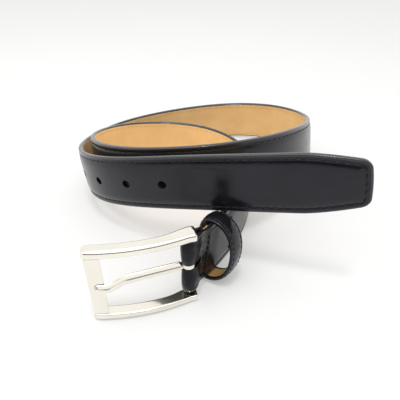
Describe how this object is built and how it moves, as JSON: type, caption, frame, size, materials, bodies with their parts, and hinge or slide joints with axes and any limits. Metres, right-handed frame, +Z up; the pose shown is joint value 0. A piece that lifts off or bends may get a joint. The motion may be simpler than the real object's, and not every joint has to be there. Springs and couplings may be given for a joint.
{
  "type": "leather belt",
  "caption": "Black leather dress belt with tan lining and bright single-prong buckle, coiled and standing on its edge.",
  "frame": {"origin": "centre of the bottom of the whole belt's box, on the surface it stands on", "axes": "+Z up; +Y away from the buckle, along the coil's longer way; +X towards the strap's tip"},
  "size_m": [0.1804, 0.233, 0.0835],
  "materials": {
    "cover_leather": "smooth black dress leather, polished",
    "lining_leather": "plain tan leather, satin",
    "filler": "bonded leather board, raw",
    "black_thread": "waxed black thread",
    "tan_thread": "waxed tan thread",
    "nickel": "polished nickel plate",
    "staple_wire": "drawn wire"
  },
  "bodies": {
    "strap": {"cover_leather": "cover_leather", "filler_core": "filler", "lining_leather": "lining_leather", "face_seam": "black_thread", "lining_seam": "tan_thread", "fold_seam_face_1": "black_thread", "fold_seam_back_1": "black_thread", "fold_seam_face_2": "black_thread", "fold_seam_back_2": "black_thread", "keeper_cover": "cover_leather", "keeper_lining": "lining_leather", "keeper_seam_buckle_side": "black_thread", "keeper_seam_tip_side": "black_thread", "keeper_staple": "staple_wire"},
    "buckle": {"buckle_frame": "nickel", "pivot_pin": "nickel"},
    "prong": {"prong": "nickel"}
  },
  "joints": [
    {"name": "buckle_hinge", "type": "hinge", "parent": "strap", "child": "buckle", "pos_m": [-0.00768, -0.09705, 0.0241], "axis": [0, 0, 1], "range_deg": [-45, 60]},
    {"name": "prong_hinge", "type": "hinge", "parent": "buckle", "child": "prong", "pos_m": [-0.00768, -0.09705, 0.0241], "axis": [0, 0, 1], "range_deg": [0, 75]}
  ]
}
